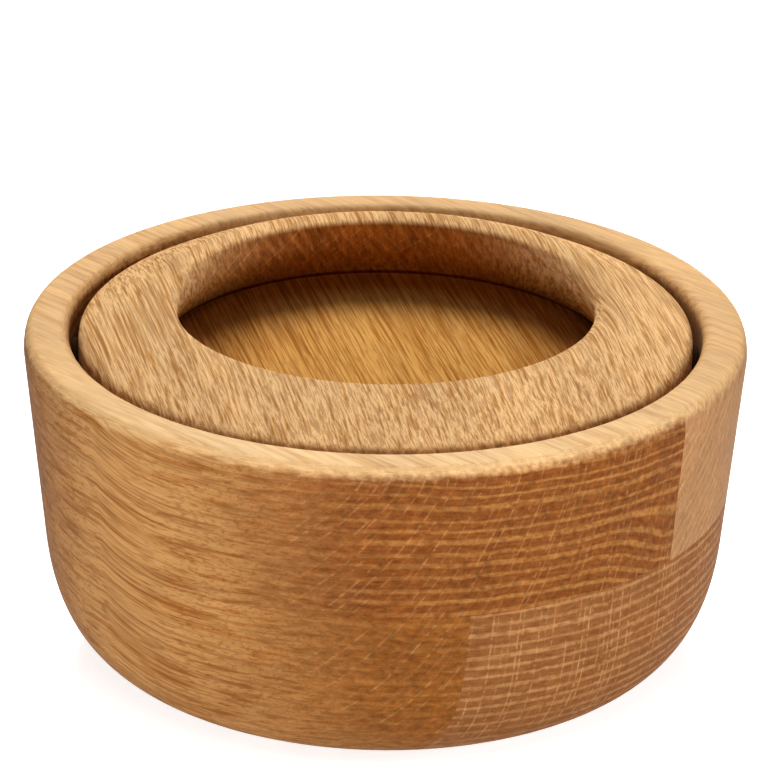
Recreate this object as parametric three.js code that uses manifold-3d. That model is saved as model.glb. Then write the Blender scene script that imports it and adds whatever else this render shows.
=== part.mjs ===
// Round oak salt cellar with a tilting lid.
//
// The bowl is glued up from oak staves in two layers and turned round. The lid is one turned
// piece that hangs level on two steel pins and tips open when one side of it is pressed.
//
// Millimetres, +Z up. The origin is the centre of the base, on the surface it stands on.
// X runs along the pivot pins and -Y is the front.

import * as THREE from "three";
import { mergeVertices, toCreasedNormals } from "three/addons/utils/BufferGeometryUtils.js";
import Module from "manifold-3d";

const wasm = await Module();
wasm.setup();

// Bowl, outside
const bowlRadius = 57.5;
const bowlHeight = 55.3;
const wallTaper = 3;
const cornerHeight = 20.5;
const cornerReach = 18.6;
const cornerFullnessShare = 0.63;
const rimRoundWidth = 1.8;
const rimRoundHeight = 3.6;
const footRingWidth = 7;
const footRecessDepth = 1;
const footRecessFlare = 0.8;

// Bowl, inside
const rimThickness = 7.2;
const mouthDepth = 14;
const mouthEdgeRound = 2.2;
const floorThickness = 8;
const insideCornerReach = 22.3;
const insideCornerShare = 0.56;

// Staves of the block that the bowl is turned from. The grain runs along them, turned from X by
// grainAngle, and each width is taken across the grain, from the bowl's widest edge inwards.
const grainAngle = THREE.MathUtils.degToRad(-45);
const lowerLayerHeight = 29.5;
const upperBackWidth = 49.3;
const lowerFrontWidth = 29;
const lowerBackWidth = 20;
const glueGap = 0.3;

// Lid: heights are counted from its outer edge
const lidGap = 1.45;
const lidDrop = 0.9;
const lidBandHeight = 11.2;
const lidUndersideDepth = 19.7;
const lidDomeShare = 0.55;
const lidUnderRound = 1.5;
const lidEdgeRound = 1.2;
const lidTopSlope = THREE.MathUtils.degToRad(27);
const lidTopWidth = 15.7;
const lidRise = 5.3;

// Finger recess in the lid, with its undercut lip
const lipRoundWidth = 3.2;
const lipRoundHeight = 2.6;
const lipFullnessShare = 0.56;
const recessFloorDepth = 5.8;
const recessUndercut = 4.25;
const undercutStraightShare = 0.4;
const creaseRound = 0.8;

// Pivot: pins in the bowl, flanged bushes in the lid, plugs that close the pin holes
const pivotDepth = 7;
const pinRadius = 1.5;
const pinLength = 12.6;
const pinEndChamfer = 0.3;
const plugRadius = 3;
const plugDepth = 2.6;
const bushWall = 1;
const bushEndPlay = 0.6;
const flangeWidth = 0.8;
const flangeSeatDepth = 0.6;
const flangeSidePlay = 0.3;
const runningClearance = 0.15;
const seatClearance = 0.2;

// Clear of every surface that a cut has to pass through
const overrun = 5;

// Facets
const turnedSegments = 64;
const pivotSegments = 24;
const curveSteps = 7;
const roundSteps = 3;
const creaseAngle = THREE.MathUtils.degToRad(30);

// Places that follow from the sizes
const wallFootRadius = bowlRadius - wallTaper;
const footRadius = wallFootRadius - cornerReach;
const footRecessRadius = footRadius - footRingWidth;
const mouthRadius = bowlRadius - rimThickness;
const mouthBottom = bowlHeight - mouthDepth;
const insideFloorRadius = mouthRadius - insideCornerReach;
const lidRadius = mouthRadius - lidGap;
const lidEdgeHeight = bowlHeight - lidDrop;
const lipRadius = lidRadius - lidTopWidth;
const pivotHeight = bowlHeight - pivotDepth;
const bushRadius = pinRadius + runningClearance + bushWall;
const flangeRadius = bushRadius + flangeWidth;

// Colours read from the oiled oak, the steel and the nylon
const paleOak = new THREE.MeshStandardMaterial({ color: 0xcd9650, roughness: 0.62, metalness: 0 });
const darkOak = new THREE.MeshStandardMaterial({ color: 0xa9672e, roughness: 0.62, metalness: 0 });
const goldenOak = new THREE.MeshStandardMaterial({ color: 0xbc8040, roughness: 0.62, metalness: 0 });
const lidOak = new THREE.MeshStandardMaterial({ color: 0xc68b47, roughness: 0.6, metalness: 0 });
const steel = new THREE.MeshStandardMaterial({ color: 0x4a4642, roughness: 0.4, metalness: 1 });
const nylon = new THREE.MeshStandardMaterial({ color: 0x43301f, roughness: 0.5, metalness: 0 });

// A three.js geometry as a solid that can be cut and joined
function toSolid(geometry) {
  geometry.deleteAttribute("normal");
  geometry.deleteAttribute("uv");
  const merged = mergeVertices(geometry);
  const index = merged.index.array;
  const triangles = [];
  for (let i = 0; i < index.length; i += 3) {
    const [a, b, c] = [index[i], index[i + 1], index[i + 2]];
    if (a !== b && b !== c && c !== a) {
      triangles.push(a, b, c);
    }
  }
  const mesh = new wasm.Mesh({
    numProp: 3,
    vertProperties: new Float32Array(merged.attributes.position.array),
    triVerts: new Uint32Array(triangles),
  });
  return new wasm.Manifold(mesh);
}

// A finished solid as a named mesh
function toMesh(name, solid, material) {
  const result = solid.getMesh();
  const geometry = new THREE.BufferGeometry();
  geometry.setAttribute("position", new THREE.BufferAttribute(result.vertProperties, 3));
  geometry.setIndex(new THREE.BufferAttribute(result.triVerts, 1));
  const mesh = new THREE.Mesh(toCreasedNormals(geometry, creaseAngle), material);
  mesh.name = name;
  return mesh;
}

// A profile of radius and height, turned about the Z axis
function turned(profile) {
  const geometry = new THREE.LatheGeometry(profile, turnedSegments);
  geometry.rotateX(Math.PI / 2);
  return toSolid(geometry);
}

// A round bar along X between two places, at the height of the pivot
function pivotBar(radius, from, to) {
  const length = Math.abs(to - from);
  const geometry = new THREE.CylinderGeometry(radius, radius, length, pivotSegments);
  geometry.rotateZ(Math.PI / 2);
  geometry.translate((from + to) / 2, 0, pivotHeight);
  return toSolid(geometry);
}

// The points of a path whose curves each take the given number of steps
function pointsOf(...stretches) {
  const points = [];
  for (const [curve, steps] of stretches) {
    for (const point of curve.getPoints(steps)) {
      const last = points[points.length - 1];
      if (!last || last.distanceTo(point) > 0) {
        points.push(point);
      }
    }
  }
  return points;
}

const at = (radius, height) => new THREE.Vector2(radius, height);
const line = (from, to) => [new THREE.LineCurve(from, to), 1];
const round = (from, corner, to, steps) => [new THREE.QuadraticBezierCurve(from, corner, to), steps];
const sweep = (from, first, second, to) => [
  new THREE.CubicBezierCurve(from, first, second, to),
  curveSteps,
];

// Outside of the bowl: recessed foot, full lower corner, wall that opens upwards, soft rim
function bowlOutside() {
  const footInner = at(footRecessRadius, footRecessDepth);
  const footRise = at(footRecessRadius + footRecessFlare, 0);
  const footEdge = at(footRadius, 0);
  const wallFoot = at(wallFootRadius, cornerHeight);
  const wallTop = at(bowlRadius, bowlHeight - rimRoundHeight);
  const rimTop = at(bowlRadius - rimRoundWidth, bowlHeight);
  const wallSlope = wallTaper / (wallTop.y - wallFoot.y);
  const drop = cornerFullnessShare * cornerHeight;
  return pointsOf(
    line(at(0, footRecessDepth), footInner),
    line(footInner, footRise),
    line(footRise, footEdge),
    sweep(
      footEdge,
      at(footRadius + cornerFullnessShare * cornerReach, 0),
      at(wallFootRadius - wallSlope * drop, cornerHeight - drop),
      wallFoot,
    ),
    line(wallFoot, wallTop),
    round(wallTop, at(bowlRadius, bowlHeight), rimTop, roundSteps),
    line(rimTop, at(0, bowlHeight)),
  );
}

// Space inside the bowl, from its floor to past the mouth
function bowlInside() {
  const height = mouthBottom - floorThickness;
  const floorEdge = at(insideFloorRadius, floorThickness);
  const mouthFoot = at(mouthRadius, mouthBottom);
  const mouthTop = at(mouthRadius, bowlHeight - mouthEdgeRound);
  const edgeTop = at(mouthRadius + mouthEdgeRound, bowlHeight);
  const clear = at(edgeTop.x, bowlHeight + overrun);
  return pointsOf(
    line(at(0, floorThickness), floorEdge),
    sweep(
      floorEdge,
      at(insideFloorRadius + insideCornerShare * insideCornerReach, floorThickness),
      at(mouthRadius, mouthBottom - insideCornerShare * height),
      mouthFoot,
    ),
    line(mouthFoot, mouthTop),
    round(mouthTop, at(mouthRadius, bowlHeight), edgeTop, roundSteps),
    line(edgeTop, clear),
    line(clear, at(0, clear.y)),
  );
}

// Lid: domed underside, plain band, sloping top, rounded lip and undercut finger recess
function lidProfile() {
  const height = (offset) => lidEdgeHeight + offset;
  const underCentre = at(0, height(-lidUndersideDepth));
  const underEdge = at(lidRadius - lidUnderRound, height(-lidBandHeight));
  const bandFoot = at(lidRadius, height(lidUnderRound - lidBandHeight));
  const bandTop = at(lidRadius, height(-lidEdgeRound));
  const slopeFoot = at(lidRadius - lidEdgeRound, height(lidEdgeRound * Math.tan(lidTopSlope)));
  const crest = at(lipRadius + lipRoundWidth, height(lidRise));
  const slopeRun = (crest.y - slopeFoot.y) / Math.tan(lidTopSlope);
  const slopeTop = at(Math.max(slopeFoot.x - slopeRun, crest.x), crest.y);
  const lip = at(lipRadius, crest.y - lipRoundHeight);
  const floorHeight = height(-recessFloorDepth);
  const crease = at(lipRadius + recessUndercut, floorHeight);
  const undercutBend = at(lipRadius, lip.y - undercutStraightShare * (lip.y - floorHeight));
  const wallDirection = undercutBend.clone().sub(crease).normalize();
  const wallFoot = crease.clone().addScaledVector(wallDirection, creaseRound);
  return pointsOf(
    round(underCentre, at(lidDomeShare * lidRadius, underCentre.y), underEdge, curveSteps),
    round(underEdge, at(lidRadius, underEdge.y), bandFoot, roundSteps),
    line(bandFoot, bandTop),
    round(bandTop, at(lidRadius, lidEdgeHeight), slopeFoot, roundSteps),
    round(slopeFoot, slopeTop, crest, curveSteps),
    sweep(
      crest,
      at(crest.x - lipFullnessShare * lipRoundWidth, crest.y),
      at(lipRadius, lip.y + lipFullnessShare * lipRoundHeight),
      lip,
    ),
    round(lip, undercutBend, wallFoot, curveSteps),
    round(wallFoot, crease, at(crease.x - creaseRound, floorHeight), roundSteps),
    line(at(crease.x - creaseRound, floorHeight), at(0, floorHeight)),
  );
}

// Where the pin, bush and plug of one side lie along X, from the wall inwards
function pivotPlaces() {
  const wallShare = (pivotHeight - cornerHeight) / (bowlHeight - rimRoundHeight - cornerHeight);
  const wallFace = wallFootRadius + wallTaper * wallShare;
  const plugInner = wallFace - plugDepth;
  const pinInner = plugInner - pinLength;
  const mouthFace = Math.sqrt(mouthRadius ** 2 - flangeRadius ** 2);
  return {
    beyond: wallFace + overrun,
    plugInner,
    pinInner,
    flangeOuter: mouthFace - flangeSidePlay,
    flangeInner: lidRadius - flangeSeatDepth,
    bushInner: pinInner - bushEndPlay,
  };
}

// A block of the layer between two heights, between two places across the grain
function staveBlock(from, to, bottom, top) {
  const length = 2 * (bowlRadius + overrun);
  const geometry = new THREE.BoxGeometry(length, to - from, top - bottom);
  geometry.translate(0, (from + to) / 2, (bottom + top) / 2);
  geometry.rotateZ(grainAngle);
  return toSolid(geometry);
}

// The staves of one layer, from the front to the back, parted by glue joints
function layerStaves(bowl, bottom, top, joints, staves) {
  const edge = bowlRadius + overrun;
  const bounds = [-edge, ...joints, edge];
  return staves.map(([name, material], i) => {
    const block = staveBlock(bounds[i] + glueGap / 2, bounds[i + 1] - glueGap / 2, bottom, top);
    return toMesh(name, bowl.intersect(block), material);
  });
}

function upperStaves(bowl) {
  const joints = [bowlRadius - upperBackWidth];
  return layerStaves(bowl, lowerLayerHeight, bowlHeight + overrun, joints, [
    ["upper_front_stave", darkOak],
    ["upper_back_stave", paleOak],
  ]);
}

function lowerStaves(bowl) {
  const joints = [lowerFrontWidth - bowlRadius, bowlRadius - lowerBackWidth];
  return layerStaves(bowl, -overrun, lowerLayerHeight, joints, [
    ["lower_front_stave", darkOak],
    ["lower_middle_stave", goldenOak],
    ["lower_back_stave", paleOak],
  ]);
}

// The pin hole through the wall, with the wider seat of its plug
function pinHole(side, places) {
  const hole = pivotBar(pinRadius + seatClearance, side * places.bushInner, side * places.beyond);
  const seat = pivotBar(plugRadius + seatClearance, side * places.plugInner, side * places.beyond);
  return hole.add(seat);
}

// The blind hole in the lid's band, with the flange's flat seat
function bushHole(side, places) {
  const end = places.bushInner - seatClearance;
  const hole = pivotBar(bushRadius + seatClearance, side * end, side * places.beyond);
  const seat = pivotBar(
    flangeRadius + seatClearance,
    side * places.flangeInner,
    side * places.beyond,
  );
  return hole.add(seat);
}

// Steel pin with chamfered ends, pressed into the wall of the bowl
function pivotPin(name, side, places) {
  const length = pinLength;
  const profile = [
    at(0, 0),
    at(pinRadius - pinEndChamfer, 0),
    at(pinRadius, pinEndChamfer),
    at(pinRadius, length - pinEndChamfer),
    at(pinRadius - pinEndChamfer, length),
    at(0, length),
  ];
  const geometry = new THREE.LatheGeometry(profile, pivotSegments);
  geometry.rotateZ(-Math.PI / 2);
  geometry.translate(side > 0 ? places.pinInner : -places.plugInner, 0, pivotHeight);
  return toMesh(name, toSolid(geometry), steel);
}

// Nylon bush in the lid: its flange keeps the lid in the middle of the mouth
function pivotBush(name, side, places) {
  const sleeve = pivotBar(bushRadius, side * places.bushInner, side * places.flangeOuter);
  const flange = pivotBar(flangeRadius, side * places.flangeInner, side * places.flangeOuter);
  const bore = pivotBar(
    pinRadius + runningClearance,
    side * (places.bushInner - overrun),
    side * places.beyond,
  );
  return toMesh(name, sleeve.add(flange).subtract(bore), nylon);
}

// Oak plug, trimmed flush with the outside of the bowl
function pinPlug(name, side, places, outside) {
  const plug = pivotBar(plugRadius, side * places.plugInner, side * places.beyond);
  return toMesh(name, plug.intersect(outside), paleOak);
}

function saltCellar() {
  const group = new THREE.Group();
  const places = pivotPlaces();
  const outside = turned(bowlOutside());
  let bowl = outside.subtract(turned(bowlInside()));
  let lid = turned(lidProfile());
  for (const [sideName, side] of [["left", -1], ["right", 1]]) {
    bowl = bowl.subtract(pinHole(side, places));
    lid = lid.subtract(bushHole(side, places));
    group.add(pivotPin(`pivot_pin_${sideName}`, side, places));
    group.add(pivotBush(`pivot_bush_${sideName}`, side, places));
    group.add(pinPlug(`pin_plug_${sideName}`, side, places, outside));
  }
  group.add(...upperStaves(bowl));
  group.add(...lowerStaves(bowl));
  group.add(toMesh("lid", lid, lidOak));
  return group;
}

export default saltCellar();
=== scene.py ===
"""Round oak salt cellar with a tilting lid: the finish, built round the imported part."""

import math
from collections.abc import Callable
from dataclasses import dataclass

import bpy
from mathutils import Matrix, Vector


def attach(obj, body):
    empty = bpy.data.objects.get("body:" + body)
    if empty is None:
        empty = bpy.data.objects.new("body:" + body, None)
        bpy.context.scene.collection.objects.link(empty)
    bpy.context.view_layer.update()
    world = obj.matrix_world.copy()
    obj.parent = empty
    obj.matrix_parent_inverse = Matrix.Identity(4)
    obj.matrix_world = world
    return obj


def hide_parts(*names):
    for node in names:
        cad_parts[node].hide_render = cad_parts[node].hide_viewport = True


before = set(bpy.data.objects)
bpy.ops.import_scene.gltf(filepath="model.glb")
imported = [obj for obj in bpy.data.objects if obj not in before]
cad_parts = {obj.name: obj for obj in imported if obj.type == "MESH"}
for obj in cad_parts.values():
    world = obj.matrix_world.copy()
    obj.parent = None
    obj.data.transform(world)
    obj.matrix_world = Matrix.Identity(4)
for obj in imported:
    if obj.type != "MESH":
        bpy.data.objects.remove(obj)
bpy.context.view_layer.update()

MM = 0.001

# Sizes in millimetres, in the part's frame: origin at the centre of the base, +Z up
BOWL_RADIUS = 57.5
BOWL_HEIGHT = 55.3
WALL_TAPER = 3.0
CORNER_HEIGHT = 20.5
CORNER_REACH = 18.6
CORNER_FULLNESS = 0.63
RIM_ROUND_WIDTH = 1.8
RIM_ROUND_HEIGHT = 3.6
FOOT_RING_WIDTH = 7.0
FOOT_RECESS_DEPTH = 1.0
FOOT_RECESS_FLARE = 0.8

RIM_THICKNESS = 7.2
MOUTH_DEPTH = 14.0
MOUTH_EDGE_ROUND = 2.2
FLOOR_THICKNESS = 8.0
INSIDE_CORNER_REACH = 22.3
INSIDE_FULLNESS = 0.56

GRAIN_ANGLE = math.radians(-45)
LOWER_LAYER_HEIGHT = 29.5
UPPER_JOINT = 8.2
LOWER_FRONT_JOINT = -28.5
LOWER_BACK_JOINT = 37.5

LID_GAP = 1.45
LID_DROP = 0.9
LID_BAND_HEIGHT = 11.2
LID_UNDERSIDE_DEPTH = 19.7
LID_DOME_SHARE = 0.55
LID_UNDER_ROUND = 1.5
LID_EDGE_ROUND = 1.2
LID_TOP_SLOPE = math.radians(27)
LID_TOP_WIDTH = 15.7
LID_RISE = 5.3
LIP_ROUND_WIDTH = 3.2
LIP_ROUND_HEIGHT = 2.6
LIP_FULLNESS = 0.56
RECESS_FLOOR_DEPTH = 5.8
RECESS_UNDERCUT = 4.25
UNDERCUT_STRAIGHT_SHARE = 0.4
CREASE_ROUND = 0.8
LID_GRAIN_ANGLE = math.radians(-77)

PIVOT_DEPTH = 7.0
PLUG_RADIUS = 3.0
PLUG_DEPTH = 2.6
PIN_HOLE_RADIUS = 1.6
BUSH_HOLE_RADIUS = 2.85
FLANGE_SEAT_RADIUS = 3.65
FLANGE_SEAT_DEPTH = 0.6
BUSH_HOLE_END = 41.0

# Fineness of the turned surfaces
SEGMENTS = 256
BAR_SEGMENTS = 48
CURVE_STEPS = 24
ROUND_STEPS = 8
SMOOTH_ANGLE = math.radians(32)
OVERRUN = 5.0

WALL_FOOT_RADIUS = BOWL_RADIUS - WALL_TAPER
FOOT_RADIUS = WALL_FOOT_RADIUS - CORNER_REACH
MOUTH_RADIUS = BOWL_RADIUS - RIM_THICKNESS
LID_RADIUS = MOUTH_RADIUS - LID_GAP
LID_EDGE_HEIGHT = BOWL_HEIGHT - LID_DROP
LIP_RADIUS = LID_RADIUS - LID_TOP_WIDTH
PIVOT_HEIGHT = BOWL_HEIGHT - PIVOT_DEPTH


# Curves of a profile: points of radius and height

def bezier(points, steps):
    """Points along a Bezier curve of any degree, its start left out."""
    result = []
    for i in range(1, steps + 1):
        t = i / steps
        level = [Vector(p) for p in points]
        while len(level) > 1:
            level = [a.lerp(b, t) for a, b in zip(level, level[1:])]
        result.append(level[0])
    return result


def bowl_outside():
    wall_foot = Vector((WALL_FOOT_RADIUS, CORNER_HEIGHT))
    wall_top = Vector((BOWL_RADIUS, BOWL_HEIGHT - RIM_ROUND_HEIGHT))
    foot_edge = Vector((FOOT_RADIUS, 0))
    recess_radius = FOOT_RADIUS - FOOT_RING_WIDTH
    slope = WALL_TAPER / (wall_top.y - wall_foot.y)
    drop = CORNER_FULLNESS * CORNER_HEIGHT
    points = [Vector((0, FOOT_RECESS_DEPTH)), Vector((recess_radius, FOOT_RECESS_DEPTH))]
    points.append(Vector((recess_radius + FOOT_RECESS_FLARE, 0)))
    points.append(foot_edge)
    points += bezier(
        [
            foot_edge,
            (FOOT_RADIUS + CORNER_FULLNESS * CORNER_REACH, 0),
            (WALL_FOOT_RADIUS - slope * drop, CORNER_HEIGHT - drop),
            wall_foot,
        ],
        CURVE_STEPS,
    )
    points += bezier([wall_foot, wall_top], ROUND_STEPS)
    rim_top = (BOWL_RADIUS - RIM_ROUND_WIDTH, BOWL_HEIGHT)
    points += bezier([wall_top, (BOWL_RADIUS, BOWL_HEIGHT), rim_top], ROUND_STEPS)
    points.append(Vector((0, BOWL_HEIGHT)))
    return points


def bowl_inside():
    mouth_bottom = BOWL_HEIGHT - MOUTH_DEPTH
    height = mouth_bottom - FLOOR_THICKNESS
    floor_radius = MOUTH_RADIUS - INSIDE_CORNER_REACH
    floor_edge = Vector((floor_radius, FLOOR_THICKNESS))
    mouth_foot = Vector((MOUTH_RADIUS, mouth_bottom))
    mouth_top = Vector((MOUTH_RADIUS, BOWL_HEIGHT - MOUTH_EDGE_ROUND))
    edge_top = Vector((MOUTH_RADIUS + MOUTH_EDGE_ROUND, BOWL_HEIGHT))
    points = [Vector((0, FLOOR_THICKNESS)), floor_edge]
    points += bezier(
        [
            floor_edge,
            (floor_radius + INSIDE_FULLNESS * INSIDE_CORNER_REACH, FLOOR_THICKNESS),
            (MOUTH_RADIUS, mouth_bottom - INSIDE_FULLNESS * height),
            mouth_foot,
        ],
        CURVE_STEPS,
    )
    points.append(mouth_top)
    points += bezier([mouth_top, (MOUTH_RADIUS, BOWL_HEIGHT), edge_top], ROUND_STEPS)
    points.append(Vector((edge_top.x, BOWL_HEIGHT + OVERRUN)))
    points.append(Vector((0, BOWL_HEIGHT + OVERRUN)))
    return points


def lid_profile():
    def level(offset):
        return LID_EDGE_HEIGHT + offset

    under_centre = Vector((0, level(-LID_UNDERSIDE_DEPTH)))
    under_edge = Vector((LID_RADIUS - LID_UNDER_ROUND, level(-LID_BAND_HEIGHT)))
    band_foot = Vector((LID_RADIUS, level(LID_UNDER_ROUND - LID_BAND_HEIGHT)))
    band_top = Vector((LID_RADIUS, level(-LID_EDGE_ROUND)))
    slope_rise = LID_EDGE_ROUND * math.tan(LID_TOP_SLOPE)
    slope_foot = Vector((LID_RADIUS - LID_EDGE_ROUND, level(slope_rise)))
    crest = Vector((LIP_RADIUS + LIP_ROUND_WIDTH, level(LID_RISE)))
    slope_run = (crest.y - slope_foot.y) / math.tan(LID_TOP_SLOPE)
    slope_top = Vector((slope_foot.x - slope_run, crest.y))
    lip = Vector((LIP_RADIUS, crest.y - LIP_ROUND_HEIGHT))
    floor_height = level(-RECESS_FLOOR_DEPTH)
    crease = Vector((LIP_RADIUS + RECESS_UNDERCUT, floor_height))
    bend = Vector((LIP_RADIUS, lip.y - UNDERCUT_STRAIGHT_SHARE * (lip.y - floor_height)))
    wall_foot = crease + (bend - crease).normalized() * CREASE_ROUND
    floor_edge = Vector((crease.x - CREASE_ROUND, floor_height))
    crest_handle = (crest.x - LIP_FULLNESS * LIP_ROUND_WIDTH, crest.y)
    lip_handle = (LIP_RADIUS, lip.y + LIP_FULLNESS * LIP_ROUND_HEIGHT)
    points = [under_centre]
    dome = (LID_DOME_SHARE * LID_RADIUS, under_centre.y)
    points += bezier([under_centre, dome, under_edge], CURVE_STEPS)
    points += bezier([under_edge, (LID_RADIUS, under_edge.y), band_foot], ROUND_STEPS)
    points.append(band_top)
    points += bezier([band_top, (LID_RADIUS, LID_EDGE_HEIGHT), slope_foot], ROUND_STEPS)
    points += bezier([slope_foot, slope_top, crest], CURVE_STEPS)
    points += bezier([crest, crest_handle, lip_handle, lip], CURVE_STEPS)
    points += bezier([lip, bend, wall_foot], CURVE_STEPS)
    points += bezier([wall_foot, crease, floor_edge], ROUND_STEPS)
    points.append(Vector((0, floor_height)))
    return points


# Solids

def new_object(name, vertices, faces):
    mesh = bpy.data.meshes.new(name)
    mesh.from_pydata(vertices, [], faces)
    mesh.update()
    obj = bpy.data.objects.new(name, mesh)
    bpy.context.scene.collection.objects.link(obj)
    return obj


def turned(name, profile):
    """A closed solid from a profile that starts and ends on the axis."""
    rings = profile[1:-1]
    vertices = []
    for point in rings:
        for i in range(SEGMENTS):
            angle = 2 * math.pi * i / SEGMENTS
            x, y = point.x * math.cos(angle), point.x * math.sin(angle)
            vertices.append((x * MM, y * MM, point.y * MM))
    first = len(vertices)
    vertices.append((0, 0, profile[0].y * MM))
    vertices.append((0, 0, profile[-1].y * MM))
    faces = []
    for i in range(SEGMENTS):
        j = (i + 1) % SEGMENTS
        faces.append((first, j, i))
        top = (len(rings) - 1) * SEGMENTS
        faces.append((first + 1, top + i, top + j))
        for k in range(len(rings) - 1):
            low, high = k * SEGMENTS, (k + 1) * SEGMENTS
            faces.append((low + i, low + j, high + j, high + i))
    return new_object(name, vertices, faces)


def pivot_bar(name, radius, start, end):
    """A round bar along X at the height of the pivot."""
    vertices = []
    for x in (min(start, end), max(start, end)):
        for i in range(BAR_SEGMENTS):
            angle = 2 * math.pi * i / BAR_SEGMENTS
            y, z = radius * math.cos(angle), PIVOT_HEIGHT + radius * math.sin(angle)
            vertices.append((x * MM, y * MM, z * MM))
    n = BAR_SEGMENTS
    faces = [tuple(reversed(range(n))), tuple(range(n, 2 * n))]
    for i in range(n):
        j = (i + 1) % n
        faces.append((i, j, n + j, n + i))
    return new_object(name, vertices, faces)


def grain_block(name, start, end, bottom, top):
    """A block whose long side runs with the bowl's grain, between two places across it."""
    reach = BOWL_RADIUS + OVERRUN
    turn = Matrix.Rotation(GRAIN_ANGLE, 3, "Z")
    vertices = []
    for z in (bottom, top):
        for u, v in ((-reach, start), (reach, start), (reach, end), (-reach, end)):
            vertices.append(turn @ Vector((u, v, z)) * MM)
    faces = [(3, 2, 1, 0), (4, 5, 6, 7), (0, 1, 5, 4), (1, 2, 6, 5), (2, 3, 7, 6), (3, 0, 4, 7)]
    return new_object(name, vertices, faces)


def combine(obj, other, operation):
    """Cuts or joins obj with another solid, which is used up."""
    modifier = obj.modifiers.new("combine", "BOOLEAN")
    modifier.object = other
    modifier.operation = operation
    modifier.solver = "MANIFOLD"
    graph = bpy.context.evaluated_depsgraph_get()
    result = bpy.data.meshes.new_from_object(obj.evaluated_get(graph))
    obj.modifiers.clear()
    old = obj.data
    obj.data = result
    result.name = obj.name
    bpy.data.meshes.remove(old)
    bpy.data.objects.remove(other)


def duplicate(obj, name):
    copy = bpy.data.objects.new(name, obj.data.copy())
    bpy.context.scene.collection.objects.link(copy)
    return copy


def smooth(obj):
    mesh = obj.data
    mesh.shade_smooth()
    mesh.set_sharp_from_angle(angle=SMOOTH_ANGLE)


# Material graphs: a Field is a number or a vector that varies over the surface

class Field:
    def __init__(self, graph, socket):
        self.graph = graph
        self.socket = socket

    def __add__(self, other):
        return self.graph.math("ADD", self, other)

    def __sub__(self, other):
        return self.graph.math("SUBTRACT", self, other)

    def __mul__(self, other):
        return self.graph.math("MULTIPLY", self, other)

    def __truediv__(self, other):
        return self.graph.math("DIVIDE", self, other)

    def __rsub__(self, other):
        return self.graph.math("SUBTRACT", other, self)

    __radd__ = __add__
    __rmul__ = __mul__


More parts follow.
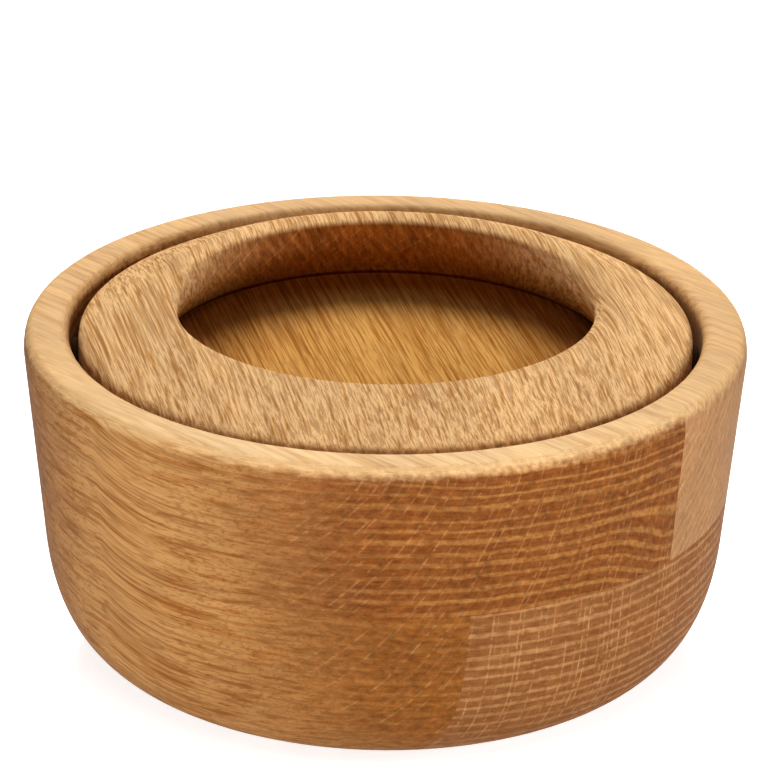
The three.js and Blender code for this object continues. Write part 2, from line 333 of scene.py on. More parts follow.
class Graph:
    """The nodes of a material or a world."""

    def __init__(self, owner):
        self.owner = owner
        owner.use_nodes = True
        self.tree = owner.node_tree
        self.tree.nodes.clear()

    def node(self, kind, **settings):
        node = self.tree.nodes.new(kind)
        for key, value in settings.items():
            setattr(node, key, value)
        return node

    def feed(self, socket, value):
        if isinstance(value, Field):
            self.tree.links.new(value.socket, socket)
        else:
            socket.default_value = value

    def read(self, kind, *names):
        """The named outputs of a node without inputs, such as places or kinds of light path."""
        node = self.node(kind)
        return [Field(self, node.outputs[name]) for name in names]

    def math(self, operation, *values):
        node = self.node("ShaderNodeMath", operation=operation)
        for socket, value in zip(node.inputs, values):
            self.feed(socket, value)
        return Field(self, node.outputs[0])

    def scale(self, vector, factor):
        node = self.node("ShaderNodeVectorMath", operation="SCALE")
        self.feed(node.inputs["Vector"], vector)
        node.inputs["Scale"].default_value = factor
        return Field(self, node.outputs["Vector"])

    def length(self, vector):
        node = self.node("ShaderNodeVectorMath", operation="LENGTH")
        self.feed(node.inputs["Vector"], vector)
        return Field(self, node.outputs["Value"])

    def vector(self, x, y, z):
        node = self.node("ShaderNodeCombineXYZ")
        for socket, value in zip(node.inputs, (x, y, z)):
            self.feed(socket, value)
        return Field(self, node.outputs[0])

    def parts(self, vector):
        node = self.node("ShaderNodeSeparateXYZ")
        self.feed(node.inputs[0], vector)
        return [Field(self, socket) for socket in node.outputs]

    def turn(self, vector, angle):
        node = self.node("ShaderNodeVectorRotate", rotation_type="Z_AXIS")
        self.feed(node.inputs["Vector"], vector)
        node.inputs["Angle"].default_value = angle
        return Field(self, node.outputs[0])

    def noise(self, vector, scale=1.0, detail=1.0):
        node = self.node("ShaderNodeTexNoise")
        self.feed(node.inputs["Vector"], vector)
        node.inputs["Scale"].default_value = scale
        node.inputs["Detail"].default_value = detail
        return Field(self, node.outputs[0])

    def noise_along(self, value, scale):
        node = self.node("ShaderNodeTexNoise", noise_dimensions="1D")
        self.feed(node.inputs["W"], value)
        node.inputs["Scale"].default_value = scale
        node.inputs["Detail"].default_value = 1.0
        return Field(self, node.outputs[0])

    def cells(self, vector):
        """Scattered cells: the place of the nearest one, and its random colour."""
        node = self.node("ShaderNodeTexVoronoi")
        self.feed(node.inputs["Vector"], vector)
        node.inputs["Scale"].default_value = 1.0
        return [Field(self, node.outputs[name]) for name in ("Position", "Color")]

    def step(self, value, low, high):
        """Rises smoothly from 0 to 1 as the value goes from low to high."""
        node = self.node("ShaderNodeMapRange", interpolation_type="SMOOTHSTEP")
        for name, given in (("Value", value), ("From Min", low), ("From Max", high)):
            self.feed(node.inputs[name], given)
        return Field(self, node.outputs[0])

    def ramp(self, value, low, high, start, end):
        """Goes evenly from start to end as the value goes from low to high."""
        node = self.node("ShaderNodeMapRange")
        names = ("Value", "From Min", "From Max", "To Min", "To Max")
        for name, given in zip(names, (value, low, high, start, end)):
            self.feed(node.inputs[name], given)
        return Field(self, node.outputs[0])

    def mix(self, factor, first, second, blend="MIX"):
        node = self.node("ShaderNodeMix", data_type="RGBA", blend_type=blend)
        sockets = (node.inputs[0], node.inputs[6], node.inputs[7])
        for socket, value in zip(sockets, (factor, first, second)):
            self.feed(socket, value)
        return Field(self, node.outputs[2])

    def tint(self, factor, colour, shade):
        """Darkens a colour with a shade as a stain would, as far as the factor goes."""
        return self.mix(factor, colour, shade, blend="MULTIPLY")

    def brightened(self, colour, value):
        node = self.node("ShaderNodeHueSaturation")
        self.feed(node.inputs["Color"], colour)
        self.feed(node.inputs["Value"], value)
        return Field(self, node.outputs[0])

    def bump(self, height, distance, strength):
        node = self.node("ShaderNodeBump")
        node.inputs["Strength"].default_value = strength
        node.inputs["Distance"].default_value = distance
        self.feed(node.inputs["Height"], height)
        return Field(self, node.outputs[0])

    def finish(self, **inputs):
        """The material, made of one shader with the given inputs."""
        shader = self.node("ShaderNodeBsdfPrincipled")
        for name, value in inputs.items():
            self.feed(shader.inputs[name.replace("_", " ")], value)
        self.show(shader, "ShaderNodeOutputMaterial")
        return self.owner

    def show(self, shader, kind):
        output = self.node(kind)
        self.tree.links.new(shader.outputs[0], output.inputs["Surface"])


def srgb(red, green, blue):
    """A colour given as 0 to 255, as a linear colour."""
    def linear(value):
        share = value / 255
        return share / 12.92 if share <= 0.04045 else ((share + 0.055) / 1.055) ** 2.4
    return (linear(red), linear(green), linear(blue), 1.0)


# Marks in oak: sizes along the grain, across it and up or through the rings, in millimetres.
# A pair of values says where a mark begins and where it is full.
BREAK_SIZE = (4.0, 0.9, 0.9)
SLOW_BEND_SIZE = (60.0, 25.0, 25.0)
QUICK_BEND_SIZE = (12.0, 4.0, 4.0)
MOTTLE_SIZE = (5.0, 1.1, 0.8)
TONE_SIZE = (26.0, 8.0, 8.0)
FIBRE_SIZE = (3.0, 0.16, 0.16)
QUICK_BEND = 0.6
RAY_BEND = 0.8
RAY_SPACING = 1.5
RAY_DEPTH = 24.0
RAY_LENGTH = 9.0
RAY_FADE = (0.2, 0.06)
STREAK_LENGTH = 24.0
STREAK_DEPTH = 0.8
STREAK_SPREAD_SHARE = 0.8
LINE_LENGTH = 30.0
LINE_DEPTH = 0.5
RIM_RAGGEDNESS = 1.3
RIM_FADE = (BOWL_HEIGHT - 2.3, BOWL_HEIGHT + 0.3)
SIDES_TO_FRONT = (10.0, 80.0)
OAK_RELIEF = 0.06 * MM

# Where a mark begins and where it is full, in noise that lies round 0.5
RING_BREAKS = (0.1, 0.6)
RAY_BREAKS = (0.35, 0.6)
DARK_STREAKS = (0.52, 0.34)
PALE_STREAKS = (0.54, 0.7)
DASHES = (0.5, 0.64)
LINES = (0.52, 0.64)

# The same in how far the surface looks up, and in how far it faces along the grain
LEVEL = (0.5, 0.95)
RINGS_SEEN = (0.4, 0.95)

# Growth rings, in shares of a ring: half the early wood, where it fades out and where full
EARLY_WOOD = (0.24, 0.09)
RING_DRIFT = 0.6
RING_DRIFT_PACE = 0.6
FAINTEST_RING = 0.6
RING_VARIATION = 0.5
RINGS_ALONG_GRAIN = 0.2

# The share of a mark that the pale rim, the end grain or the early wood hides
RIM_HIDES = {"end grain": 0.75, "streaks": 0.5, "vessels": 0.7}
END_HIDES = {"streaks": 0.5, "vessels": 0.55}
EARLY_WOOD_HIDES = 0.5

# Strengths, from 0 to 1, and how much the wood's value, relief and roughness change
RIM_PALENESS = 0.85
VESSEL_STRENGTH = 0.8
TONE_CHANGE = 0.4
FIBRE_CHANGE = 0.3
PALE_STREAK_GAIN = 0.12
FIBRE_RELIEF = 0.5
EARLY_WOOD_RELIEF = 0.3
OAK_ROUGHNESS = 0.58
OAK_ROUGHNESS_CHANGE = 0.16

STREAK_SHADE = srgb(218, 190, 150)
VESSEL_SHADE = srgb(159, 124, 93)
# Pale rim colours: partly wear, partly painted light on the rim's top; the front one also holds
# a painted highlight
RIM_WORN_AND_LIT_AT_SIDES = srgb(232, 186, 127)
RIM_WORN_AND_HIGHLIT_AT_FRONT = srgb(251, 209, 151)


@dataclass
class Board:
    """How one board of oak was cut, and how it looks.

    angle is the direction of the grain in plan. rings and rays turn places along the grain,
    across it and up, in millimetres, into the depth through the growth rings and the place
    across the rays, also in millimetres. side and end are the pale and the dark colour of
    the wood where its surface runs with the grain and where it cuts the grain. spread is
    how wide a streak is along a ring. The last field paints shade and warm bounce light
    into the wood's colour.
    """

    name: str
    angle: float
    rings: Callable
    rays: Callable
    ring_width: float
    side: tuple
    end: tuple
    ray_colour: tuple
    end_range: tuple = (0.2, 0.8)
    wander: float = 2.4
    ring_strength: float = 1.0
    ray_strength: float = 0.7
    spread: float = 3.0
    streak_strength: float = 0.8
    dash_length: float = 6.0
    dash_width: float = 0.34
    dash_strength: float = 0.6
    mottle: float = 0.6
    gloss: float = 0.04
    # How much of the pale rim, worn and painted lighter, the board shows
    rim_wear_and_light: float = 1.0
    # A function that paints shade and warm bounce light into the board's colour
    painted_light: Callable = None


def spared(mask, share):
    """What is left of a mark where a mask takes away up to the given share of it."""
    return 1.0 - mask * share


class Oak(Graph):
    """Oiled oak. Each step adds its marks to the colour that the steps before it made."""

    def __init__(self, board):
        super().__init__(bpy.data.materials.new(board.name))
        self.board = board
        self.find_surface()
        self.find_rim()
        self.bend_grain()
        self.draw_rings()
        self.draw_rays()
        self.paint_rim_wear_and_highlight()
        # Here a board's colour may get painted shade and painted warm bounce light
        if board.painted_light:
            self.colour = board.painted_light(self)
        self.draw_streaks()
        self.draw_vessels()

    def grain(self, size, depth=None, detail=1.0):
        """Noise drawn out to the given size, up through the wood or along a depth in it."""
        upward = self.z if depth is None else depth
        length, width, height = size
        stretched = self.vector(self.u / length, self.v / width, upward / height)
        return self.noise(stretched, detail=detail)

    def find_surface(self):
        """Where the surface is, along the grain, across it and up, and how it lies."""
        place, normal = self.read("ShaderNodeTexCoord", "Object", "Normal")
        place = self.scale(place, 1 / MM)
        self.u, self.v, self.z = self.parts(self.turn(place, -self.board.angle))
        along, _, upward = self.parts(self.turn(normal, -self.board.angle))
        self.cut = self.math("ABSOLUTE", along)
        self.flatness = self.step(upward, *LEVEL)

    def find_rim(self):
        """How much of the surface is pale rim, worn and painted lighter, and how much of it
        cuts the grain.
        """
        self.broken = self.grain(BREAK_SIZE)
        ragged = self.z + (self.broken - 0.5) * RIM_RAGGEDNESS
        self.rim = self.step(ragged, *RIM_FADE) * self.board.rim_wear_and_light
        endness = self.step(self.cut, *self.board.end_range)
        self.endness = endness * spared(self.rim, RIM_HIDES["end grain"])

    def bend_grain(self):
        """The grain wanders slowly and trembles a little."""
        self.slow = self.grain(SLOW_BEND_SIZE) - 0.5
        quick = self.grain(QUICK_BEND_SIZE, detail=2.0) - 0.5
        bend = self.slow * self.board.wander + quick * QUICK_BEND
        self.depth = self.board.rings(self.u, self.v, self.z, self.flatness) + bend

    def draw_rings(self):
        """Growth rings: pale early wood between darker late wood."""
        board = self.board
        ring = self.depth / board.ring_width
        ring = ring + (self.noise_along(ring, RING_DRIFT_PACE) - 0.5) * RING_DRIFT
        middle = self.math("ABSOLUTE", self.math("FRACT", ring) - 0.5)
        paleness = FAINTEST_RING + RING_VARIATION * self.noise_along(ring, 1.0)
        early = self.step(middle, *EARLY_WOOD) * paleness
        early = early * self.step(self.broken, *RING_BREAKS) * board.ring_strength
        seen = self.step(self.cut, *RINGS_SEEN)
        self.early = early * (RINGS_ALONG_GRAIN + (1.0 - RINGS_ALONG_GRAIN) * seen)
        pale = self.mix(self.endness, board.side[0], board.end[0])
        dark = self.mix(self.endness, board.side[1], board.end[1])
        self.colour = self.mix(self.early, dark, pale)

    def draw_rays(self):
        """Thin pale sheets across the rings, seen where the grain is cut."""
        board = self.board
        stand = board.rays(self.u, self.v, self.z) + self.slow * RAY_BEND
        cell = self.vector(stand / RAY_SPACING, self.depth / RAY_DEPTH, self.u / RAY_LENGTH)
        centre, random = self.cells(cell)
        offset = self.math("ABSOLUTE", stand - self.parts(centre)[0] * RAY_SPACING)
        chance = self.parts(random)[1]
        sheet = self.step(offset, *RAY_FADE) * chance * self.step(self.broken, *RAY_BREAKS)
        shown = sheet * self.endness * board.ray_strength
        self.colour = self.mix(shown, self.colour, board.ray_colour)

    def paint_rim_wear_and_highlight(self):
        """The rim is paler, partly from wear and partly as painted light on its top. At the
        front it is paler still, a painted highlight.
        """
        forward = self.step(self.u - self.v, *SIDES_TO_FRONT)
        worn_and_lit = self.mix(forward, RIM_WORN_AND_LIT_AT_SIDES, RIM_WORN_AND_HIGHLIT_AT_FRONT)
        self.colour = self.mix(self.rim * RIM_PALENESS, self.colour, worn_and_lit)

    def draw_streaks(self):
        """Streaks a millimetre wide, some darker and some paler than the wood between them."""
        board = self.board
        size = (STREAK_LENGTH, board.spread * STREAK_SPREAD_SHARE, STREAK_DEPTH)
        noise = self.grain(size, self.depth)
        strength = board.streak_strength * spared(self.rim, RIM_HIDES["streaks"])
        strength = strength * spared(self.endness, END_HIDES["streaks"])
        dark = self.step(noise, *DARK_STREAKS) * strength
        self.pale_streak = self.step(noise, *PALE_STREAKS) * strength * (1.0 - self.endness)
        self.colour = self.tint(dark, self.colour, STREAK_SHADE)

    def draw_vessels(self):
        """Vessels and small rays: fine dark dashes and lines that run with the grain."""
        board = self.board
        size = (board.dash_length, board.dash_width, board.dash_width)
        dash = self.step(self.grain(size, self.depth, detail=2.0), *DASHES)
        size = (LINE_LENGTH, board.spread, LINE_DEPTH)
        line = self.step(self.grain(size, self.depth), *LINES)
        vessel = self.math("MAXIMUM", dash, line) * VESSEL_STRENGTH
        vessel = vessel * spared(self.early, EARLY_WOOD_HIDES)
        vessel = vessel * spared(self.rim, RIM_HIDES["vessels"])
        self.vessel = vessel * spared(self.endness, END_HIDES["vessels"])
        self.colour = self.tint(self.vessel * board.dash_strength, self.colour, VESSEL_SHADE)

    def made(self):
        """The finished material: uneven in tone from board to fibre, with a fine open grain."""
        board = self.board
        tone = self.grain(TONE_SIZE, detail=3.0)
        fibre = self.grain(FIBRE_SIZE)
        mottle = self.grain(MOTTLE_SIZE, self.depth, detail=2.0)
        value = 1.0 + (tone - 0.5) * TONE_CHANGE + (fibre - 0.5) * FIBRE_CHANGE
        value = value + self.pale_streak * PALE_STREAK_GAIN
        value = value + (mottle - 0.5) * self.endness * board.mottle
        height = fibre * FIBRE_RELIEF - self.vessel - self.early * EARLY_WOOD_RELIEF
        return self.finish(
            Base_Color=self.brightened(self.colour, value),
            Roughness=OAK_ROUGHNESS + OAK_ROUGHNESS_CHANGE * tone,
            Specular_IOR_Level=board.gloss,
            Normal=self.bump(height, OAK_RELIEF, strength=0.5),
        )


# Steel and nylon of the pivots: how fine their marks are, per metre

TURNING_MARKS = (9000.0, 700.0, 700.0)
NYLON_GRAIN = 4000.0
NYLON_CLOUD = 300.0
PIVOT_ROUGHNESS = 0.7
PIVOT_ROUGHNESS_CHANGE = 0.2
STEEL_RELIEF = 0.02 * MM
NYLON_RELIEF = 0.03 * MM


def steel():
    g = Graph(bpy.data.materials.new("blackened_steel"))
    (place,) = g.read("ShaderNodeTexCoord", "Object")
    marks = [value * pace for value, pace in zip(g.parts(place), TURNING_MARKS)]
    scratches = g.noise(g.vector(*marks), detail=3.0)
    return g.finish(
        Base_Color=g.mix(scratches, srgb(36, 26, 17), srgb(25, 18, 12)),
        Roughness=PIVOT_ROUGHNESS + PIVOT_ROUGHNESS_CHANGE * scratches,
        Specular_IOR_Level=0.0,
        Normal=g.bump(scratches, STEEL_RELIEF, strength=0.4),
    )


def nylon():
    g = Graph(bpy.data.materials.new("brown_nylon"))
    (place,) = g.read("ShaderNodeTexCoord", "Object")
    grain = g.noise(place, scale=NYLON_GRAIN, detail=3.0)
    cloud = g.noise(place, scale=NYLON_CLOUD, detail=2.0)
    return g.finish(
        Base_Color=g.mix(cloud, srgb(60, 40, 24), srgb(44, 30, 18)),
        Roughness=PIVOT_ROUGHNESS + PIVOT_ROUGHNESS_CHANGE * grain,
        Specular_IOR_Level=0.0,
        Normal=g.bump(grain, NYLON_RELIEF, strength=0.3),
    )


# Boards of the bowl and the lid: the shares of v and z in their rings and rays say which way
# each board was cut from its log, and the numbers here, in millimetres, shape the front ones

DIP_FROM = 10.0
DIP_TO = -6.0
DIP = 0.011
RING_TILT = 0.04
RING_TILT_ON_TOP = 0.4
CURL = 4.6
CURL_ACROSS = (-8.0, 9.0)
CURL_DOWN = (45.0, 33.0)
RAY_TURN_HEIGHT = 42.0
RAY_LEAN = 0.1595
RAY_LEAN_CHANGE = 0.0081


def front_rings(u, v, z, flatness):
    """Nearly level rings that dip to the left and curl at the upper block's lower right."""
    g = u.graph
    left = g.math("MAXIMUM", g.math("MINIMUM", u, DIP_FROM), DIP_TO) - DIP_FROM
    dip = left * left * DIP
    curl = g.step(v, *CURL_ACROSS) * g.step(z, *CURL_DOWN)
    on_top = flatness * (dip + v * RING_TILT_ON_TOP)
    return z - dip + v * RING_TILT + curl * CURL + on_top


def front_rays(u, v, z):
    """Rays that lean over, less and less towards the right."""
    return v - (z - RAY_TURN_HEIGHT) * (RAY_LEAN - v * RAY_LEAN_CHANGE)


def front_oak(name, end, **marks):
    return Board(
        name,
        GRAIN_ANGLE,
        rings=front_rings,
        rays=front_rays,
        ring_width=2.0,
        side=(srgb(200, 160, 107), srgb(174, 126, 74)),
        end=end,
        ray_colour=srgb(168, 121, 73),
        ray_strength=0.6,
        mottle=1.2,
        **marks,
    )


def upper_front_oak():
    return front_oak(
        "oak_upper_front",
        end=(srgb(154, 104, 53), srgb(121, 69, 29)),
        end_range=(0.1, 0.72),
    )


def lower_front_oak():
    return front_oak(
        "oak_lower_front",
        end=(srgb(160, 109, 54), srgb(128, 77, 32)),
        end_range=(0.14, 0.76),
        ring_strength=0.4,
    )


def upper_back_oak():
    return Board(
        "oak_upper_back",
        GRAIN_ANGLE,
        rings=lambda u, v, z, flatness: z * 0.7 - v * 0.7,
        rays=lambda u, v, z: z * 0.7 + v * 0.7,
        ring_width=1.7,
        side=(srgb(184, 149, 106), srgb(161, 120, 79)),
        end=(srgb(189, 150, 107), srgb(162, 117, 76)),
        ray_colour=srgb(198, 159, 115),
        ray_strength=0.2,
        ring_strength=0.35,
        dash_strength=0.5,
        streak_strength=0.5,
        spread=1.0,
    )


def lower_middle_oak():
    return Board(
        "oak_lower_middle",
        GRAIN_ANGLE,
        rings=lambda u, v, z, flatness: z + v * 0.03,
        rays=lambda u, v, z: v,
        ring_width=1.85,
        side=(srgb(194, 157, 110), srgb(170, 125, 80)),
        end=(srgb(165, 118, 73), srgb(132, 83, 44)),
        ray_colour=srgb(175, 132, 86),
        ray_strength=0.85,
        wander=1.0,
    )


def lower_back_oak():
    return Board(
        "oak_lower_back",
        GRAIN_ANGLE,
        rings=lambda u, v, z, flatness: z * 0.9 + v * 0.4,
        rays=lambda u, v, z: v * 0.9 - z * 0.4,
        ring_width=2.1,
        side=(srgb(194, 157, 110), srgb(170, 125, 80)),
        end=(srgb(172, 125, 78), srgb(142, 91, 47)),
        ray_colour=srgb(180, 136, 91),
    )


def plug_oak():
    return Board(
        "oak_plug",
        math.radians(90),
        rings=lambda u, v, z, flatness: z,
        rays=lambda u, v, z: v,
        ring_width=1.6,
        side=(srgb(178, 134, 86), srgb(150, 104, 60)),
        end=(srgb(161, 113, 68), srgb(129, 79, 39)),
        ray_colour=srgb(180, 136, 91),
    )


# Painted shade and painted warm bounce light in the lid's finger recess, in millimetres: where
# they begin and where they are full

RECESS_FLOOR_HEIGHT = LID_EDGE_HEIGHT - RECESS_FLOOR_DEPTH
CREASE_RADIUS = LIP_RADIUS + RECESS_UNDERCUT
LIP_CORNER = LID_EDGE_HEIGHT + LID_RISE + LIP_RADIUS
PAINTED_LIGHT_SIDE = (CREASE_RADIUS + 2.0, CREASE_RADIUS + 1.0)
PAINTED_LIGHT_BOTTOM = (RECESS_FLOOR_HEIGHT - 2.0, RECESS_FLOOR_HEIGHT - 1.0)
PAINTED_SHADE_BACK = (0.0, 34.0)
ABOVE_FLOOR = (RECESS_FLOOR_HEIGHT, RECESS_FLOOR_HEIGHT + 0.2)
BELOW_LIP = (LIP_CORNER + 1.3, LIP_CORNER - 0.7)
BELOW_EDGE = (LID_EDGE_HEIGHT + 2.5, LID_EDGE_HEIGHT - 2.0)
NEAR_FLOOR = (RECESS_FLOOR_HEIGHT + 1.2, RECESS_FLOOR_HEIGHT + 0.4)
NEAR_CREASE = (LIP_RADIUS - 18.0, LIP_RADIUS + 1.0)
CREASE_SHADE_AT_FRONT = 0.8
# Painted shade on the back wall, painted warm bounce light low in the recess, painted shade in
# the crease
BACK_WALL_PAINTED_SHADE = srgb(142, 101, 61)
RECESS_PAINTED_BOUNCE_LIGHT = srgb(246, 226, 176)
CREASE_PAINTED_SHADE = srgb(142, 98, 54)


def paint_recess_shade_and_bounce(oak):
    """Painted shade in the finger recess, darkest on its back wall and in the crease, with
    painted warm bounce light low in the recess.
    """
    u, v, z = oak.u, oak.v, oak.z
    radius = oak.math("SQRT", u * u + v * v)
    inside = oak.step(radius, *PAINTED_LIGHT_SIDE) * oak.step(z, *PAINTED_LIGHT_BOTTOM)
    backward = v * math.cos(LID_GRAIN_ANGLE) + u * math.sin(LID_GRAIN_ANGLE)
    back = oak.step(backward, *PAINTED_SHADE_BACK)
    # On the lip the painted shade ends along a slant of 45 degrees, which is measured in z +
    # radius
    wall = oak.step(z, *ABOVE_FLOOR) * oak.step(z + radius, *BELOW_LIP)
    # Painted shade on the recess's back wall
    colour = oak.tint(inside * back * wall, oak.colour, BACK_WALL_PAINTED_SHADE)
    # Painted warm bounce light low in the recess
    colour = oak.tint(inside * oak.step(z, *BELOW_EDGE), colour, RECESS_PAINTED_BOUNCE_LIGHT)
    # Painted shade in the crease, strongest at the back
    crease = inside * oak.step(z, *NEAR_FLOOR) * oak.step(radius, *NEAR_CREASE)
    strength = CREASE_SHADE_AT_FRONT + (1.0 - CREASE_SHADE_AT_FRONT) * back
    return oak.tint(crease * strength, colour, CREASE_PAINTED_SHADE)


def lid_oak():
    return Board(
        "oak_lid",
        LID_GRAIN_ANGLE,
        rings=lambda u, v, z, flatness: v * 0.8 + z * 0.6,
        rays=lambda u, v, z: z * 0.8 - v * 0.6,
        ring_width=1.8,
        side=(srgb(243, 206, 153), srgb(224, 180, 126)),
        end=(srgb(228, 180, 124), srgb(200, 146, 90)),
        end_range=(0.5, 0.85),
        ray_colour=srgb(244, 206, 156),
        dash_length=7.0,
        dash_width=0.27,
        dash_strength=0.62,
        spread=0.6,
        ring_strength=0.6,
        mottle=1.6,
        gloss=0.0,
        rim_wear_and_light=0.0,
        # The finger recess gets painted shade and painted warm bounce light
        painted_light=paint_recess_shade_and_bounce,
    )


# Pieces

def finished(obj, material, body, node):
    obj.data.materials.clear()
    obj.data.materials.append(material)
    smooth(obj)
    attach(obj, body)
    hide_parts(node)


def wall_face():
    """Radius of the bowl's outside at the height of the pivot."""
    wall_top = BOWL_HEIGHT - RIM_ROUND_HEIGHT
    share = (PIVOT_HEIGHT - CORNER_HEIGHT) / (wall_top - CORNER_HEIGHT)
    return WALL_FOOT_RADIUS + WALL_TAPER * share


def make_plugs(outside, bowl):
    """Drills the bowl for the pins and closes the holes with flush plugs."""
    inner = wall_face() - PLUG_DEPTH
    beyond = wall_face() + OVERRUN
    material = Oak(plug_oak()).made()
    for name, side, slot in (("left", -1, "bowl_oak_dark"), ("right", 1, "bowl_oak_pale")):
        hole = pivot_bar("hole", PIN_HOLE_RADIUS, side * BUSH_HOLE_END, side * beyond)
        combine(bowl, hole, "DIFFERENCE")
        seat = pivot_bar("seat", PLUG_RADIUS, side * inner, side * beyond)
        combine(bowl, seat, "DIFFERENCE")
        plug = pivot_bar(f"oak_plug_{name}", PLUG_RADIUS, side * inner, side * beyond)
        combine(plug, duplicate(outside, "trim"), "INTERSECT")
        finished(plug, material, "bowl", f"pin_plug_{name}")


def make_staves(bowl):
    """Cuts the bowl into the staves of its two layers."""
    edge = BOWL_RADIUS + OVERRUN
    lower = (-OVERRUN, LOWER_LAYER_HEIGHT)
    upper = (LOWER_LAYER_HEIGHT, BOWL_HEIGHT + OVERRUN)
    staves = (
        ("upper_front", (-edge, UPPER_JOINT), upper, upper_front_oak(), "bowl_oak_dark"),
        ("upper_back", (UPPER_JOINT, edge), upper, upper_back_oak(), "bowl_oak_pale"),
        ("lower_front", (-edge, LOWER_FRONT_JOINT), lower, lower_front_oak(), "bowl_oak_pale"),
        (
            "lower_middle", (LOWER_FRONT_JOINT, LOWER_BACK_JOINT), lower,
            lower_middle_oak(), "bowl_oak_dark",
        ),
        ("lower_back", (LOWER_BACK_JOINT, edge), lower, lower_back_oak(), "bowl_oak_pale"),
    )
    for name, across, layer, board, slot in staves:
        stave = duplicate(bowl, f"oak_{name}")
        combine(stave, grain_block("block", *across, *layer), "INTERSECT")
        finished(stave, Oak(board).made(), "bowl", f"{name}_stave")


def make_bowl():
    outside = turned("bowl_outside", bowl_outside())
    bowl = duplicate(outside, "bowl")
    combine(bowl, turned("bowl_inside", bowl_inside()), "DIFFERENCE")
    make_plugs(outside, bowl)
    make_staves(bowl)
    bpy.data.objects.remove(bowl)
    bpy.data.objects.remove(outside)


def make_lid():
    lid = turned("oak_lid", lid_profile())
    beyond = LID_RADIUS + OVERRUN
    seat_inner = LID_RADIUS - FLANGE_SEAT_DEPTH
    for side in (-1, 1):
        hole = pivot_bar("hole", BUSH_HOLE_RADIUS, side * BUSH_HOLE_END, side * beyond)
        combine(lid, hole, "DIFFERENCE")
        seat = pivot_bar("seat", FLANGE_SEAT_RADIUS, side * seat_inner, side * beyond)
        combine(lid, seat, "DIFFERENCE")
    finished(lid, Oak(lid_oak()).made(), "lid", "lid")


def dress_pivots():
    metal = steel()
    plastic = nylon()
    for side in ("left", "right"):
        for node, material in ((f"pivot_pin_{side}", metal), (f"pivot_bush_{side}", plastic)):
            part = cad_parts[node]
            for slot in part.material_slots:
                slot.material = material


# Camera: where the photograph was taken from, in the part's frame, in metres and pixels.
# AIM_ROW is the row of the image in which the point at AIM_HEIGHT appears.

CAMERA_DISTANCE = 0.8
CAMERA_ELEVATION = math.radians(24.3)
CAMERA_ROLL = math.radians(0.714)
AIM_HEIGHT = 0.028
AIM_ROW = 478.2
FOCAL_PIXELS = 4962.0
FRAME_PIXELS = 770
SENSOR_WIDTH = 36.0


def make_camera():
    data = bpy.data.cameras.new("camera")
    data.sensor_width = SENSOR_WIDTH
    data.lens = FOCAL_PIXELS * SENSOR_WIDTH / FRAME_PIXELS
    camera = bpy.data.objects.new("camera", data)
    bpy.context.scene.collection.objects.link(camera)
    forward = Vector((0, math.cos(CAMERA_ELEVATION), -math.sin(CAMERA_ELEVATION)))
    right = Vector((1, 0, 0))
    up = right.cross(forward)
    place = Vector((0, 0, AIM_HEIGHT)) - forward * CAMERA_DISTANCE
    # The object stands a little below the middle of the frame, so the view is tipped up
    tip = math.atan((AIM_ROW - FRAME_PIXELS / 2) / FOCAL_PIXELS)
    forward, up = (
        forward * math.cos(tip) + up * math.sin(tip),
        up * math.cos(tip) - forward * math.sin(tip),
    )
    right, up = (
        right * math.cos(CAMERA_ROLL) + up * math.sin(CAMERA_ROLL),
        up * math.cos(CAMERA_ROLL) - right * math.sin(CAMERA_ROLL),
    )
    turn = Matrix((right, up, -forward)).transposed()
    camera.matrix_world = Matrix.Translation(place) @ turn.to_4x4()
    bpy.context.scene.camera = camera


# Light and floor

# Each light's name, place in metres, size in metres, power in watts and colour
LIGHTS = (
    ("back", (-0.03, 0.69, 0.54), 0.42, 9.5, (1, 1, 1)),
    ("front_above", (0, -0.5, 0.72), 0.45, 1.5, (1, 1, 1)),
    ("left", (-0.83, 0, 0.1), 0.3, 1.6, (0.97, 1.03, 1.12)),
    ("right", (0.85, 0, 0.14), 0.2, 3.3, (1, 1.04, 1.12)),
    ("front", (0, -0.84, 0.18), 0.26, 6.7, (1, 1, 1)),
)
LIGHT_AIM = (0, 0, 0.03)
WORLD_LIGHT = 0.045
WHITE = (1, 1, 1, 1)
FLOOR_REACH = 4.0
FLOOR_COLOUR = (0.86, 0.86, 0.86, 1)
FLOOR_GLOW = 0.65
# Distances from the object, in metres, between which the floor's glow rises to white
FLOOR_GLOW_REACH = (0.2, 0.6)


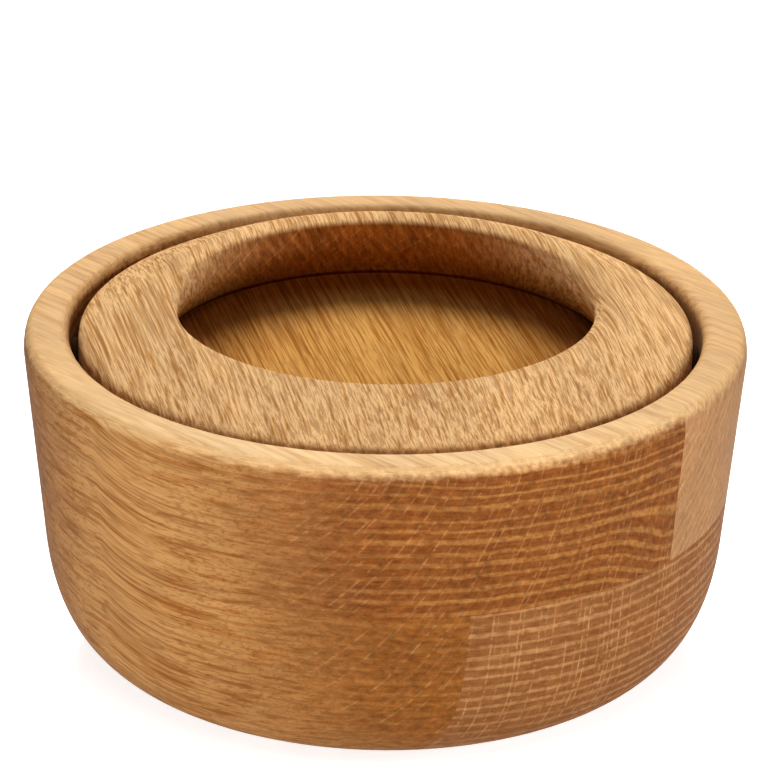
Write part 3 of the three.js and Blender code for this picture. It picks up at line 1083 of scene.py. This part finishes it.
def area_light(name, place, size, power, colour):
    data = bpy.data.lights.new(name, "AREA")
    data.shape = "DISK"
    data.size = size
    data.energy = power
    data.color = colour
    light = bpy.data.objects.new(name, data)
    bpy.context.scene.collection.objects.link(light)
    light.location = place
    direction = Vector(LIGHT_AIM) - Vector(place)
    light.rotation_mode = "QUATERNION"
    light.rotation_quaternion = direction.to_track_quat("-Z", "Y")


def floor_material():
    """Pale, with a glow that only the camera and glossy surfaces see.

    Far from the object the glow is as white as the backdrop, and nearby it leaves the shadow.
    """
    g = Graph(bpy.data.materials.new("floor"))
    camera, glossy = g.read("ShaderNodeLightPath", "Is Camera Ray", "Is Glossy Ray")
    (place,) = g.read("ShaderNodeTexCoord", "Object")
    whiteness = g.ramp(g.length(place), *FLOOR_GLOW_REACH, FLOOR_GLOW, 1.0)
    pale = g.node("ShaderNodeBsdfDiffuse")
    g.feed(pale.inputs["Color"], FLOOR_COLOUR)
    glow = g.node("ShaderNodeEmission")
    g.feed(glow.inputs["Color"], WHITE)
    g.feed(glow.inputs["Strength"], g.math("MAXIMUM", camera, glossy) * whiteness)
    both = g.node("ShaderNodeAddShader")
    for socket, shader in zip(both.inputs, (pale, glow)):
        g.tree.links.new(shader.outputs[0], socket)
    g.show(both, "ShaderNodeOutputMaterial")
    return g.owner


def make_floor():
    corners = ((-1, -1), (1, -1), (1, 1), (-1, 1))
    vertices = [(x * FLOOR_REACH, y * FLOOR_REACH, 0) for x, y in corners]
    floor = new_object("floor", vertices, [(0, 1, 2, 3)])
    floor.data.materials.append(floor_material())


def make_world():
    """Faint light from all round, behind which the camera sees white."""
    g = Graph(bpy.data.worlds.new("studio"))
    (camera,) = g.read("ShaderNodeLightPath", "Is Camera Ray")
    background = g.node("ShaderNodeBackground")
    g.feed(background.inputs["Color"], WHITE)
    g.feed(background.inputs["Strength"], g.ramp(camera, 0.0, 1.0, WORLD_LIGHT, 1.0))
    g.show(background, "ShaderNodeOutputWorld")
    bpy.context.scene.world = g.owner


make_camera()
make_world()
make_floor()
for light in LIGHTS:
    area_light(*light)
make_bowl()
make_lid()
dress_pivots()

bpy.context.scene.view_settings.view_transform = "Standard"
